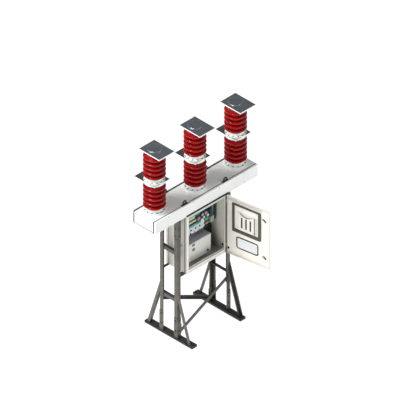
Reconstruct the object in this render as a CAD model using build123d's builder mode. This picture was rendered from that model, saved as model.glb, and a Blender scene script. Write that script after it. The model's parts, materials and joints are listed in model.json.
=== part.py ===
from build123d import *
import os
from math import cos, hypot, radians, sin

os.makedirs("parts", exist_ok=True)

# A three-pole outdoor breaker: three insulator columns on a beam, the beam on an angle-steel stand, and a
# drive cabinet hung in the stand. X runs along the beam, -Y is the front with the cabinet door, Z is up. The
# origin is on the ground, midway between the foot bars. All lengths are in millimetres.

# --- Stand ----------------------------------------------------------------------------------------
frame_width = 972.0  # outside to outside of the posts, along X
frame_depth = 324.0  # outside to outside of the posts, along Y
post_leg = 60.0
post_thickness = 8.0
beam_bottom = 1948.0  # height of the beam's underside above the ground

foot_length = 884.0
foot_width = 100.0
foot_height = 30.0
foot_corner_radius = 8.0
foot_overhang = 11.0  # foot bar past the posts' outer faces
foundation_hole_diameter = 18.0
foundation_hole_to_end = 22.0

strut_leg = 45.0
strut_thickness = 5.0
strut_foot_to_end = 40.0  # from the foot bar's end to the strut's outer edge
strut_top = 796.0

crossbar_leg = 50.0
crossbar_thickness = 5.0
crossbar_tops = (636.0, 1385.0)

gusset_thickness = 6.0
gusset_height = 180.0
low_gusset_overhang = 25.0  # past the edge of the post's flange
high_gusset_overhang = 6.0
gusset_corner = 22.0
low_gusset_rise = 78.0  # centre of a gusset above the low end of its brace
high_gusset_rise = 5.0  # the same at the high end

brace_leg = 45.0
brace_thickness = 5.0
brace_post_gap = 10.0  # between the brace's end and the inside of the post's side flange
brace_low_end = 46.0  # height of the brace's centre line above the foot bars at its low end
brace_high_end = 512.0

cleat_thickness = 5.0
head_cleat_height = 334.0
base_cleat_height = 312.0

# --- Beam -----------------------------------------------------------------------------------------
beam_length = 1892.0
beam_height = 182.0
beam_body_depth = 350.0
beam_wall = 5.0
cover_depth = 40.0  # each cover, with its joint strip
cover_wall = 3.0
joint_width = 16.0  # groove between a cover and the body
joint_setback = 8.0
joint_land = 20.0  # width of the strip on which cover and body meet

eye_spacing = 750.0
eye_base_length = 100.0
eye_base_width = 24.0
eye_base_height = 6.0
eye_thickness = 12.0
eye_radius = 34.0
eye_hole_diameter = 28.0
eye_hole_height = 34.0  # hole's centre above the beam's top

# --- Poles ----------------------------------------------------------------------------------------
pole_spacing = 750.0
base_flange_radius = 148.0
base_flange_height = 39.0
insulator_height = 432.0
insulator_bore = 180.0
shed_radius = 152.0
shed_root_radius = 116.0
shed_count = 5
shed_spacing = 71.5
first_shed = 74.0  # widest point of the lowest shed above the insulator's foot
shed_rise = 22.0  # how far a shed climbs from its rim to its root
shed_fall = 15.0  # how far its underside drops from the root to the rim
shed_edge = 16.0  # height of the rim
shed_rim_fillet = 7.0
mid_ring_radius = 143.0
mid_ring_heights = (27.0, 12.0)  # under the terminal plate and over it
terminal_width = 282.0
terminal_length = 374.0
terminal_shift = 43.0  # centre of a terminal plate off the pole's axis
mid_terminal_height = 11.0
top_cap_radius = 120.0
top_cap_height = 29.0
top_terminal_height = 10.0
top_boss_radius = 98.0
top_boss_height = 10.0
top_boss_fillet = 6.0

# --- Drive cabinet --------------------------------------------------------------------------------
cabinet_width = 716.0
cabinet_depth = 392.0
cabinet_height = 912.0
cabinet_wall = 4.0
cabinet_front = 214.0  # its front face ahead of the beam's centre line
cabinet_beam_gap = 18.0
opening_to_hinge_side = 36.0  # from the cabinet's right side to the opening
opening_to_latch_side = 24.0
opening_to_top = 24.0
opening_to_bottom = 96.0
lip_thickness = 3.0
lip_depth = 8.0
bracket_leg = 40.0
bracket_thickness = 4.0
bracket_seat = 60.0  # how far each bracket runs in under the cabinet

mounting_plate_setback = 262.0  # behind the cabinet's front face
mounting_plate_thickness = 3.0
mounting_plate_margin = 20.0
component_panel_depth = 78.0
component_panel_to_box = 105.0  # bare plate between the panel and the relay box
device_row_depth = 24.0
device_rows = ((0.77, 80.0), (0.40, 64.0), (0.11, 66.0))  # centre as a share of the panel, and height
device_row_margin = 30.0
relay_box_width = 538.0
relay_box_height = 280.0
relay_box_depth = 158.0
relay_box_to_bottom = 62.0
relay_box_fillet = 4.0

# --- Cabinet door ---------------------------------------------------------------------------------
door_width = 688.0
door_height = 911.0
door_depth = 32.0
door_wall = 2.0
door_angle = 99.4  # how far it stands open
door_running_gap = 5.0  # between the closed door's rim and the cabinet
door_below_beam = 10.0
hinge_to_side = 6.0  # hinge axis in from the cabinet's right side
hinge_ahead = 12.0  # hinge axis ahead of the cabinet's front face
hinge_to_door = 6.0  # hinge axis to the door's rim
hinge_radius = 5.0
hinge_pin_radius = 3.0
hinge_pin_clearance = 0.3
hinge_knuckle_length = 34.0
hinge_pin_length = 22.0
hinge_leaf = 8.0
hinge_to_end = 110.0  # hinges in from the door's top and bottom

door_frame_start = 89.0  # from the door's hinge edge
door_frame_width = 451.0
door_frame_height = 466.0
door_frame_from_top = 61.0
door_frame_bar = 26.0
door_frame_depth = 22.0
pocket_start = 183.0  # from the door's hinge edge
pocket_from_top = 205.0
pocket_width = 250.0
pocket_height = 265.0
pocket_depth = 20.0
pocket_wall = 2.0
pocket_flange = 26.0  # width of the flanges that hold it to the door
pocket_notch_width = 180.0
pocket_notch_depth = 36.0
pocket_slot_width = 24.0
pocket_slot_height = 163.0
pocket_slot_spacing = 69.0
pocket_slot_count = 3
pocket_slot_bottom = 41.0  # above the pocket's lower edge

window_start = 139.0
window_width = 356.0
window_height = 190.0
window_from_top = 602.0
window_corner = 40.0
gasket_width = 18.0
gasket_depth = 8.0
pane_thickness = 4.0

latch_from_hinge_edge = 595.0
latches_from_top = (175.0, 766.0)
latch_shaft_radius = 8.0
latch_head_radius = 16.0
latch_head_height = 6.0
latch_clearance = 0.3
latch_body_width = 26.0
latch_body_height = 44.0
latch_body_depth = 16.0

# --- Derived places -------------------------------------------------------------------------------
sides = (("left", -1), ("right", 1))
ends = (("front", -1), ("rear", 1))
poles = (("left", -pole_spacing), ("middle", 0.0), ("right", pole_spacing))

post_x = frame_width / 2
post_y = frame_depth / 2
post_inside_x = post_x - post_thickness
post_inside_y = post_y - post_thickness
gusset_inside_y = post_inside_y - gusset_thickness
foot_x = post_x + foot_overhang - foot_width / 2

beam_top = beam_bottom + beam_height
beam_middle = beam_bottom + beam_height / 2
joint_inset = joint_setback + joint_land

mid_flange_bottom = beam_top + base_flange_height + insulator_height
mid_terminal_bottom = mid_flange_bottom + mid_ring_heights[0]
mid_terminal_top = mid_terminal_bottom + mid_terminal_height
upper_insulator_bottom = mid_terminal_top + mid_ring_heights[1]
top_cap_bottom = upper_insulator_bottom + insulator_height
top_terminal_bottom = top_cap_bottom + top_cap_height

cabinet_top = beam_bottom - cabinet_beam_gap
cabinet_bottom = cabinet_top - cabinet_height
opening_left = -cabinet_width / 2 + opening_to_latch_side
opening_right = cabinet_width / 2 - opening_to_hinge_side
opening_bottom = cabinet_bottom + opening_to_bottom
opening_top = cabinet_top - opening_to_top
mounting_plate_y = -cabinet_front + mounting_plate_setback

door_bottom = beam_bottom - door_below_beam - door_height
hinge_x = cabinet_width / 2 - hinge_to_side
hinge_y = -cabinet_front - hinge_ahead
rim_edge = hinge_ahead - door_running_gap  # the rim's free edge, inwards of the hinge axis
skin_outside = rim_edge - door_depth
skin_inside = skin_outside + door_wall

# The door's own plane: x from the hinge axis towards the latches, y up from the door's lower edge, and the
# normal towards the inside of the cabinet when the door is shut.
door_plane = Plane(
    origin=(hinge_x, hinge_y, door_bottom),
    x_dir=(-cos(radians(door_angle)), -sin(radians(door_angle)), 0),
    z_dir=(-sin(radians(door_angle)), cos(radians(door_angle)), 0),
)


def save(piece, node):
    """Label a finished piece and write its STEP file."""
    piece.part.label = node
    export_step(piece.part, f"parts/{node}.step")


def angle_section(corner_x, corner_y, x_side, y_side, leg, thickness):
    """Draw an angle's section, its outer corner at the point given and its legs towards the centre."""
    with Locations((corner_x - x_side * leg / 2, corner_y - y_side * thickness / 2)):
        Rectangle(leg, thickness)
    with Locations((corner_x - x_side * thickness / 2, corner_y - y_side * leg / 2)):
        Rectangle(thickness, leg)


# --- Foot bars ------------------------------------------------------------------------------------
for side, x_side in sides:
    with BuildPart() as foot_bar:
        with BuildSketch(Plane.XY):
            with Locations((x_side * foot_x, 0)):
                RectangleRounded(foot_width, foot_length, foot_corner_radius)
                with GridLocations(0, foot_length - 2 * foundation_hole_to_end, 1, 2):
                    Circle(foundation_hole_diameter / 2, mode=Mode.SUBTRACT)
        extrude(amount=foot_height)
    save(foot_bar, f"foot_bar_{side}")

# --- Posts ----------------------------------------------------------------------------------------
for side, x_side in sides:
    for end, y_side in ends:
        with BuildPart() as post:
            with BuildSketch(Plane.XY.offset(foot_height)):
                angle_section(x_side * post_x, y_side * post_y, x_side, y_side, post_leg, post_thickness)
            extrude(amount=beam_bottom - foot_height)
        save(post, f"post_{side}_{end}")

# --- Raking struts: from the foot bars up to the outer faces of the posts -------------------------
strut_foot_y = foot_length / 2 - strut_foot_to_end
strut_run = strut_foot_y - post_y
strut_rise = strut_top - foot_height
strut_length = hypot(strut_run, strut_rise)
strut_level = strut_length / strut_rise  # level width of the strut for each mm across it
strut_upright = strut_length / strut_run  # upright height of the strut for each mm across it

for side, x_side in sides:
    with BuildPart() as raking_struts:
        for y_side in (-1, 1):
            for outer_edge, depth in ((0, strut_thickness), (strut_leg - strut_thickness, strut_leg)):
                with BuildSketch(Plane.YZ.offset(x_side * post_x)):
                    Polygon(
                        (y_side * (strut_foot_y - outer_edge * strut_level), foot_height),
                        (y_side * (strut_foot_y - strut_leg * strut_level), foot_height),
                        (y_side * post_y, strut_top - strut_leg * strut_upright),
                        (y_side * post_y, strut_top - outer_edge * strut_upright),
                        align=None,
                    )
                extrude(amount=depth, dir=(-x_side, 0, 0))
    save(raking_struts, f"raking_struts_{side}")

# --- Crossbars between the front and rear posts ---------------------------------------------------
for side, x_side in sides:
    with BuildPart() as crossbars:
        with BuildSketch(Plane.XZ):
            for crossbar_top in crossbar_tops:
                angle_section(
                    x_side * post_inside_x, crossbar_top, x_side, 1, crossbar_leg, crossbar_thickness
                )
        extrude(amount=gusset_inside_y, both=True)
    save(crossbars, f"crossbars_{side}")

# --- Diagonal braces, one rising to the right in front and one falling to the right behind --------
brace_end_x = post_inside_x - brace_post_gap
brace_length = hypot(2 * brace_end_x, brace_high_end - brace_low_end)
brace_upright = brace_length / (2 * brace_end_x)  # upright height of the brace for each mm across it
lower_edge = foot_height - brace_leg / 2 * brace_upright

for end, y_side in ends:
    left_height = brace_low_end if end == "front" else brace_high_end
    right_height = brace_high_end if end == "front" else brace_low_end
    with BuildPart() as brace:
        for width, depth in ((brace_leg, brace_thickness), (brace_thickness, brace_leg)):
            upper_edge = lower_edge + width * brace_upright
            with BuildSketch(Plane.XZ.offset(-y_side * gusset_inside_y)):
                Polygon(
                    (-brace_end_x, left_height + lower_edge),
                    (brace_end_x, right_height + lower_edge),
                    (brace_end_x, right_height + upper_edge),
                    (-brace_end_x, left_height + upper_edge),
                    align=None,
                )
            extrude(amount=depth, dir=(0, -y_side, 0))
    save(brace, f"brace_{end}")

# --- Gussets that join the braces to the posts ----------------------------------------------------
low_gusset = (brace_low_end + low_gusset_rise, low_gusset_overhang)
high_gusset = (brace_high_end + high_gusset_rise, high_gusset_overhang)

with BuildPart() as gusset_plates:
    for x_side, y_side, (gusset_centre, gusset_overhang) in (
        (-1, -1, low_gusset),
        (1, -1, high_gusset),
        (-1, 1, high_gusset),
        (1, 1, low_gusset),
    ):
        gusset_width = brace_end_x - (post_x - post_leg - gusset_overhang)
        with BuildSketch(Plane.XZ.offset(-y_side * post_inside_y)) as gusset_outline:
            with Locations((x_side * (brace_end_x - gusset_width / 2), foot_height + gusset_centre)):
                Rectangle(gusset_width, gusset_height)
            free_side = Axis.X if x_side < 0 else Axis((0, 0, 0), (-1, 0, 0))
            chamfer(gusset_outline.vertices().group_by(free_side)[-1], gusset_corner)
        extrude(amount=gusset_thickness, dir=(0, -y_side, 0))
save(gusset_plates, "gusset_plates")

# --- Cleats around the heads and the feet of the posts --------------------------------------------
for node, cleat_bottom, cleat_height in (
    ("post_head_cleats", beam_bottom - head_cleat_height, head_cleat_height),
    ("post_base_cleats", foot_height, base_cleat_height),
):
    with BuildPart() as post_cleats:
        with BuildSketch(Plane.XY.offset(cleat_bottom)):
            for x_side in (-1, 1):
                for y_side in (-1, 1):
                    angle_section(
                        x_side * (post_x + cleat_thickness),
                        y_side * (post_y + cleat_thickness),
                        x_side,
                        y_side,
                        post_leg + cleat_thickness,
                        cleat_thickness,
                    )
        extrude(amount=cleat_height)
    save(post_cleats, node)

# --- Brackets that carry the cabinet between the posts --------------------------------------------
bracket_end_x = cabinet_width / 2 - bracket_seat

with BuildPart() as cabinet_brackets:
    for x_side in (-1, 1):
        with BuildSketch(Plane.YZ.offset(x_side * bracket_end_x)):
            for y_side in (-1, 1):
                corner_y = y_side * post_inside_y
                angle_section(corner_y, cabinet_bottom, y_side, 1, bracket_leg, bracket_thickness)
        extrude(amount=post_inside_x - bracket_end_x, dir=(x_side, 0, 0))
save(cabinet_brackets, "cabinet_brackets")

# --- Beam body: a box with a wide window in front and behind, which the covers close --------------
with BuildPart() as beam_body:
    with Locations((0, 0, beam_middle)):
        Box(beam_length, beam_body_depth, beam_height)
        Box(
            beam_length - 2 * beam_wall,
            beam_body_depth - 2 * beam_wall,
            beam_height - 2 * beam_wall,
            mode=Mode.SUBTRACT,
        )
        Box(
            beam_length - 2 * joint_inset,
            beam_body_depth,
            beam_height - 2 * joint_inset,
            mode=Mode.SUBTRACT,
        )
save(beam_body, "beam_body")

# --- Beam covers: shallow trays, each with a set-back strip that meets the body -------------------
tray_depth = cover_depth - joint_width

for end, y_side in ends:
    joint_plane = Plane.XZ.offset(-y_side * beam_body_depth / 2)
    tray_plane = Plane.XZ.offset(-y_side * (beam_body_depth / 2 + joint_width))
    outwards = (0, y_side, 0)
    with BuildPart() as cover:
        with BuildSketch(tray_plane):
            with Locations((0, beam_middle)):
                Rectangle(beam_length, beam_height)
        extrude(amount=tray_depth, dir=outwards)
        with BuildSketch(Plane.XZ.offset(-y_side * (beam_body_depth / 2 + joint_width + cover_wall))):
            with Locations((0, beam_middle)):
                Rectangle(beam_length - 2 * cover_wall, beam_height - 2 * cover_wall)
        extrude(amount=tray_depth - 2 * cover_wall, dir=outwards, mode=Mode.SUBTRACT)
        with BuildSketch(joint_plane):
            with Locations((0, beam_middle)):
                Rectangle(beam_length - 2 * joint_setback, beam_height - 2 * joint_setback)
        extrude(amount=joint_width, dir=outwards)
        with BuildSketch(joint_plane):
            with Locations((0, beam_middle)):
                Rectangle(beam_length - 2 * joint_inset, beam_height - 2 * joint_inset)
        extrude(amount=joint_width + cover_wall, dir=outwards, mode=Mode.SUBTRACT)
    save(cover, f"beam_cover_{end}")

# --- Lifting eyes on the joints between beam body and covers --------------------------------------
eye_y = (beam_body_depth + joint_width) / 2

with BuildPart() as lifting_eyes:
    for y_side in (-1, 1):
        with BuildSketch(Plane.XZ.offset(-y_side * eye_y)):
            with GridLocations(eye_spacing, 0, 2, 1):
                with Locations((0, beam_top + eye_hole_height)):
                    Circle(eye_radius)
                with Locations((0, beam_top + eye_hole_height / 2)):
                    Rectangle(2 * eye_radius, eye_hole_height)
                with Locations((0, beam_top + eye_hole_height)):
                    Circle(eye_hole_diameter / 2, mode=Mode.SUBTRACT)
        extrude(amount=eye_thickness / 2, both=True)
    with Locations((0, 0, beam_top + eye_base_height / 2)):
        with GridLocations(eye_spacing, 2 * eye_y, 2, 2):
            Box(eye_base_length, eye_base_width, eye_base_height)
save(lifting_eyes, "lifting_eyes")


# --- Poles ----------------------------------------------------------------------------------------
def disc(pole_x, bottom, radius, height):
    """Add a round flange that stands on the given level of a pole."""
    with Locations((pole_x, 0, bottom + height / 2)):
        Cylinder(radius, height)


def terminal_plate(pole_x, bottom, height, shift):
    """Add a terminal plate that lies on the given level of a pole."""
    with Locations((pole_x, shift, bottom + height / 2)):
        Box(terminal_width, terminal_length, height)


def insulator_outline():
    """The points of a hollow insulator's half section, from the foot up its outside and down its bore."""
    points = [(insulator_bore / 2, 0), (shed_root_radius, 0)]
    for shed in range(shed_count):
        rim = first_shed + shed * shed_spacing
        points += [
            (shed_root_radius, rim - shed_edge / 2 + shed_fall / 2),
            (shed_radius, rim - shed_edge / 2),
            (shed_radius, rim + shed_edge / 2),
            (shed_root_radius, rim + shed_edge / 2 + shed_rise),
        ]
    return points + [(shed_root_radius, insulator_height), (insulator_bore / 2, insulator_height)]


def insulator(pole_x, bottom):
    """Revolve one insulator with its sheds around a pole's axis."""
    with BuildPart() as column:
        with BuildSketch(Plane(origin=(pole_x, 0, bottom), x_dir=(1, 0, 0), z_dir=(0, -1, 0))) as section:
            Polygon(*insulator_outline(), align=None)
            rims = section.vertices().group_by(Axis.X)[-1]
            fillet(rims, shed_rim_fillet)
        revolve(axis=Axis((pole_x, 0, 0), (0, 0, 1)))
    return column


for pole, pole_x in poles:
    with BuildPart() as base_flange:
        disc(pole_x, beam_top, base_flange_radius, base_flange_height)
    save(base_flange, f"base_flange_{pole}")

    save(insulator(pole_x, beam_top + base_flange_height), f"lower_insulator_{pole}")

    with BuildPart() as mid_flange:
        disc(pole_x, mid_flange_bottom, mid_ring_radius, mid_ring_heights[0])
        disc(pole_x, mid_terminal_top, mid_ring_radius, mid_ring_heights[1])
    save(mid_flange, f"mid_flange_{pole}")

    with BuildPart() as mid_terminal:
        terminal_plate(pole_x, mid_terminal_bottom, mid_terminal_height, terminal_shift)
    save(mid_terminal, f"mid_terminal_{pole}")

    save(insulator(pole_x, upper_insulator_bottom), f"upper_insulator_{pole}")

    with BuildPart() as top_terminal:
        disc(pole_x, top_cap_bottom, top_cap_radius, top_cap_height)
        terminal_plate(pole_x, top_terminal_bottom, top_terminal_height, -terminal_shift)
        disc(pole_x, top_terminal_bottom + top_terminal_height, top_boss_radius, top_boss_height)
        boss_rim = top_terminal.faces().sort_by(Axis.Z)[-1].edges()
        fillet(boss_rim, top_boss_fillet)
    save(top_terminal, f"top_terminal_{pole}")

# --- Cabinet body: a box with an opening in its front and a lip around the opening ----------------
opening_width = opening_right - opening_left
opening_height = opening_top - opening_bottom
opening_centre = ((opening_left + opening_right) / 2, (opening_bottom + opening_top) / 2)
front_plane = Plane.XZ.offset(cabinet_front)

with BuildPart() as cabinet_body:
    with Locations((0, cabinet_depth / 2 - cabinet_front, cabinet_bottom + cabinet_height / 2)):
        Box(cabinet_width, cabinet_depth, cabinet_height)
        Box(
            cabinet_width - 2 * cabinet_wall,
            cabinet_depth - 2 * cabinet_wall,
            cabinet_height - 2 * cabinet_wall,
            mode=Mode.SUBTRACT,
        )
    with BuildSketch(front_plane):
        with Locations(opening_centre):
            Rectangle(opening_width + 2 * lip_thickness, opening_height + 2 * lip_thickness)
    extrude(amount=lip_depth)
    with BuildSketch(front_plane.offset(lip_depth)):
        with Locations(opening_centre):
            Rectangle(opening_width, opening_height)
    extrude(amount=-(lip_depth + cabinet_wall), mode=Mode.SUBTRACT)
save(cabinet_body, "cabinet_body")

# --- Mounting plate and what it carries -----------------------------------------------------------
inside_width = cabinet_width - 2 * cabinet_wall
plate_height = cabinet_height - 2 * cabinet_wall - 2 * mounting_plate_margin
relay_box_bottom = cabinet_bottom + relay_box_to_bottom
panel_bottom = relay_box_bottom + relay_box_height + component_panel_to_box
panel_height = cabinet_top - cabinet_wall - mounting_plate_margin - panel_bottom

with BuildPart() as cabinet_mounting_plate:
    plate_y = mounting_plate_y + mounting_plate_thickness / 2
    with Locations((0, plate_y, cabinet_bottom + cabinet_height / 2)):
        Box(inside_width, mounting_plate_thickness, plate_height)
save(cabinet_mounting_plate, "cabinet_mounting_plate")

with BuildPart() as component_panel:
    with BuildSketch(Plane.XZ.offset(-mounting_plate_y)):
        with Locations((0, panel_bottom + panel_height / 2)):
            Rectangle(inside_width, panel_height)
    extrude(amount=component_panel_depth)
save(component_panel, "component_panel")

with BuildPart() as device_rows_part:
    with BuildSketch(Plane.XZ.offset(component_panel_depth - mounting_plate_y)):
        for row_share, row_height in device_rows:
            with Locations((0, panel_bottom + row_share * panel_height)):
                Rectangle(inside_width - 2 * device_row_margin, row_height)
    extrude(amount=device_row_depth)
save(device_rows_part, "device_rows")

with BuildPart() as relay_box:
    with BuildSketch(Plane.XZ.offset(-mounting_plate_y)):
        with Locations((relay_box_width / 2 - inside_width / 2, relay_box_bottom + relay_box_height / 2)):
            Rectangle(relay_box_width, relay_box_height)
    extrude(amount=relay_box_depth)
    fillet(relay_box.faces().sort_by(Axis.Y)[0].edges(), relay_box_fillet)
save(relay_box, "relay_box")

# --- Hinges: fixed knuckles on the cabinet, each bored for the pin of the knuckle above it on the door 
hinge_heights = (hinge_to_end, door_height - hinge_to_end)  # where fixed and moving knuckles meet

with BuildPart() as cabinet_hinges:
    for hinge_height in hinge_heights:
        knuckle_top = door_bottom + hinge_height
        with BuildSketch(Plane.XY.offset(knuckle_top - hinge_knuckle_length)):
            with Locations((hinge_x, hinge_y)):
                Circle(hinge_radius)
            with Locations((hinge_x, hinge_y + hinge_ahead / 2)):
                Rectangle(hinge_leaf, hinge_ahead)
        extrude(amount=hinge_knuckle_length)
        with BuildSketch(Plane.XY.offset(knuckle_top)):
            with Locations((hinge_x, hinge_y)):
                Circle(hinge_pin_radius + hinge_pin_clearance)
        extrude(amount=-(hinge_pin_length + hinge_pin_clearance), mode=Mode.SUBTRACT)
save(cabinet_hinges, "cabinet_hinges")

# --- Door pan with its knuckles and pins ----------------------------------------------------------
pan_centre = (hinge_to_door + door_width / 2, door_height / 2)
window_centre = (
    hinge_to_door + window_start + window_width / 2,
    door_height - window_from_top - window_height / 2,
)
latch_start = hinge_to_door + latch_from_hinge_edge
latch_places = [(latch_start, door_height - from_top) for from_top in latches_from_top]
door_foot_plane = Plane(origin=door_plane.origin, x_dir=door_plane.x_dir, z_dir=(0, 0, 1))

with BuildPart() as cabinet_door:
    with BuildSketch(door_plane.offset(skin_outside)):
        with Locations(pan_centre):
            Rectangle(door_width, door_height)
    extrude(amount=door_depth)
    with BuildSketch(door_plane.offset(skin_inside)):
        with Locations(pan_centre):
            Rectangle(door_width - 2 * door_wall, door_height - 2 * door_wall)
    extrude(amount=door_depth, mode=Mode.SUBTRACT)
    with BuildSketch(door_plane.offset(skin_outside)):
        with Locations(window_centre):
            RectangleRounded(window_width, window_height, window_corner)
        with Locations(*latch_places):
            Circle(latch_shaft_radius + latch_clearance)
    extrude(amount=door_wall, mode=Mode.SUBTRACT)
    for hinge_height in hinge_heights:
        with BuildSketch(door_foot_plane.offset(hinge_height + hinge_pin_clearance)):
            Circle(hinge_radius)
            with Locations((hinge_to_door / 2, 0)):
                Rectangle(hinge_to_door, hinge_leaf)
        extrude(amount=hinge_knuckle_length)
        with BuildSketch(door_foot_plane.offset(hinge_height + hinge_pin_clearance)):
            Circle(hinge_pin_radius)
        extrude(amount=-hinge_pin_length)
save(cabinet_door, "cabinet_door")

# --- Frame and document pocket on the door's inner face -------------------------------------------
frame_centre = (
    hinge_to_door + door_frame_start + door_frame_width / 2,
    door_height - door_frame_from_top - door_frame_height / 2,
)
frame_opening = (door_frame_width - 2 * door_frame_bar, door_frame_height - 2 * door_frame_bar)

with BuildPart() as door_frame:
    with BuildSketch(door_plane.offset(skin_inside)):
        with Locations(frame_centre):
            Rectangle(door_frame_width, door_frame_height)
            Rectangle(*frame_opening, mode=Mode.SUBTRACT)
    extrude(amount=door_frame_depth)
save(door_frame, "door_frame")

pocket_middle = hinge_to_door + pocket_start + pocket_width / 2
pocket_top = door_height - pocket_from_top
pocket_centre = (pocket_middle, pocket_top - pocket_height / 2)
slots_centre = (pocket_middle, pocket_top - pocket_height + pocket_slot_bottom + pocket_slot_height / 2)
pocket_front = skin_inside + pocket_depth
notch_radius = (pocket_notch_width**2 / 4 + pocket_notch_depth**2) / (2 * pocket_notch_depth)

with BuildPart() as document_pocket:
    with BuildSketch(door_plane.offset(skin_inside)):
        with Locations(pocket_centre):
            Rectangle(pocket_width + 2 * pocket_flange, pocket_height)
    extrude(amount=pocket_wall)
    with BuildSketch(door_plane.offset(skin_inside)):
        with Locations(pocket_centre):
            Rectangle(pocket_width, pocket_height)
    extrude(amount=pocket_depth)
    with BuildSketch(door_plane.offset(skin_inside + pocket_wall)):
        with Locations((pocket_middle, pocket_centre[1] + pocket_wall)):
            Rectangle(pocket_width - 2 * pocket_wall, pocket_height)
    extrude(amount=pocket_depth - 2 * pocket_wall, mode=Mode.SUBTRACT)
    with BuildSketch(door_plane.offset(pocket_front)):
        with Locations((pocket_middle, pocket_top - pocket_notch_depth + notch_radius)):
            Circle(notch_radius)
        with Locations(slots_centre):
            with GridLocations(pocket_slot_spacing, 0, pocket_slot_count, 1):
                Rectangle(pocket_slot_width, pocket_slot_height)
    extrude(amount=-pocket_wall, mode=Mode.SUBTRACT)
save(document_pocket, "document_pocket")

# --- Window in the door ---------------------------------------------------------------------------
pane_width = window_width - 2 * gasket_width
pane_height = window_height - 2 * gasket_width
pane_corner = window_corner - gasket_width

with BuildPart() as window_gasket:
    with BuildSketch(door_plane.offset(skin_outside + door_wall / 2)):
        with Locations(window_centre):
            RectangleRounded(window_width, window_height, window_corner)
            RectangleRounded(pane_width, pane_height, pane_corner, mode=Mode.SUBTRACT)
    extrude(amount=gasket_depth / 2, both=True)
save(window_gasket, "window_gasket")

with BuildPart() as window_pane:
    with BuildSketch(door_plane.offset(skin_outside + door_wall / 2)):
        with Locations(window_centre):
            RectangleRounded(pane_width, pane_height, pane_corner)
    extrude(amount=pane_thickness / 2, both=True)
save(window_pane, "window_pane")

# --- Latches: a head outside, a shaft through the skin and a body inside --------------------------
with BuildPart() as door_latches:
    with BuildSketch(door_plane.offset(skin_outside - latch_head_height)):
        with Locations(*latch_places):
            Circle(latch_head_radius)
    extrude(amount=latch_head_height)
    with BuildSketch(door_plane.offset(skin_outside)):
        with Locations(*latch_places):
            Circle(latch_shaft_radius)
    extrude(amount=door_wall)
    with BuildSketch(door_plane.offset(skin_inside)):
        with Locations(*latch_places):
            Rectangle(latch_body_width, latch_body_height)
    extrude(amount=latch_body_depth)
save(door_latches, "door_latches")
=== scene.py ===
"""Looks of a three-pole gas insulated breaker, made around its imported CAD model.

Everything is in metres in the CAD's own frame: +X along the beam, -Y the front with the cabinet door, +Z up.
"""
import json
import math
import random

import bmesh
import bpy
from mathutils import Matrix, Vector

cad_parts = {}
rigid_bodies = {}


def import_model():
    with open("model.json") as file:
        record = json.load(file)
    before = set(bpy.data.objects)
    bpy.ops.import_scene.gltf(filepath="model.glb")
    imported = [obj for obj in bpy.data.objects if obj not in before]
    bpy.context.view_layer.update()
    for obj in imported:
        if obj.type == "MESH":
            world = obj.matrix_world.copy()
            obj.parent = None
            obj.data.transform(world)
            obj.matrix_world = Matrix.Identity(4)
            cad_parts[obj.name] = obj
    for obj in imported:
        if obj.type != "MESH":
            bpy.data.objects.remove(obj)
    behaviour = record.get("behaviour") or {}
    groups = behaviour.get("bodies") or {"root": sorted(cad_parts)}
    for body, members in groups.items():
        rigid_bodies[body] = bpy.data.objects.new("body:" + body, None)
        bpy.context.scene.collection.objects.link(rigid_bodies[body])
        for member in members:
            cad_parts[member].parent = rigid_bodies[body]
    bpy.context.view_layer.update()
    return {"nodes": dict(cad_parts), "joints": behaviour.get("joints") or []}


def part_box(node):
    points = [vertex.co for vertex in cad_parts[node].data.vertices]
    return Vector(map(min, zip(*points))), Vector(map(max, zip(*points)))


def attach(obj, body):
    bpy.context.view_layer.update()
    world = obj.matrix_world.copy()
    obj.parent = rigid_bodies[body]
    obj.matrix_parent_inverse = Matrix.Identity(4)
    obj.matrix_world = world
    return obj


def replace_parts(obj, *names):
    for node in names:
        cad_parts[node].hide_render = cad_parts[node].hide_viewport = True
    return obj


for leftover in list(bpy.data.objects):
    bpy.data.objects.remove(leftover, do_unlink=True)

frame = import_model()
nodes = frame["nodes"]
MM = 0.001
SIDES = (-1, 1)
X_SIDES = (("left", -1), ("right", 1))
Y_SIDES = (("front", -1), ("rear", 1))

# --- Materials ---
PAINTED_SHADE_LEVEL = 0.12  # brightness that is left under full painted shade
STREAK_SHADE = 0.55
STREAK_SIZE = 30 * MM
STREAK_STRETCH = (1, 1, 18)
WEAR_RADIUS = 4 * MM
WEAR_PATCH = 20 * MM
WEAR_SHARE = 0.7
COAT_ROUGHNESS = 0.08
GLOSS_FACTORS = (0.85, 1.2)  # of the roughness, where it is glossiest and where it is dullest
# Where an effect starts and where it is full, as values of its noise.
CLOUDS = (0.3, 0.7)
STREAKS = (0.52, 0.75)
GLOSS = (0.25, 0.75)
WORN_PATCHES = (0.48, 0.62)
# The same, as the upward part of a face's normal or its dot product with the rounded one.
TOP_FACES = (0.35, 0.85)
UPRIGHT_FACES = (0.8, 0.5)
WORN_EDGES = (0.995, 0.9)


def srgb(red, green, blue):
    """A colour given as 0-255 screen values, as the linear RGBA that shaders take."""
    linear = [
        value / 255 / 12.92 if value < 10.3 else ((value / 255 + 0.055) / 1.055) ** 2.4
        for value in (red, green, blue)
    ]
    return (*linear, 1.0)


def scaled(colour, factor):
    """A colour made darker or lighter."""
    return (*[min(1.0, channel * factor) for channel in colour[:3]], 1.0)


def feed(tree, made, inputs):
    """Fill a node's inputs: a socket is linked, and anything else becomes the input's value."""
    for key, value in inputs.items():
        if isinstance(value, bpy.types.NodeSocket):
            tree.links.new(value, made.inputs[key])
        else:
            made.inputs[key].default_value = value


def node(tree, kind, inputs=(), **settings):
    """Add a shader node with the given settings and inputs. Returns its outputs."""
    made = tree.nodes.new("ShaderNode" + kind)
    for key, value in settings.items():
        setattr(made, key, value)
    feed(tree, made, dict(inputs))
    return made.outputs


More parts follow.
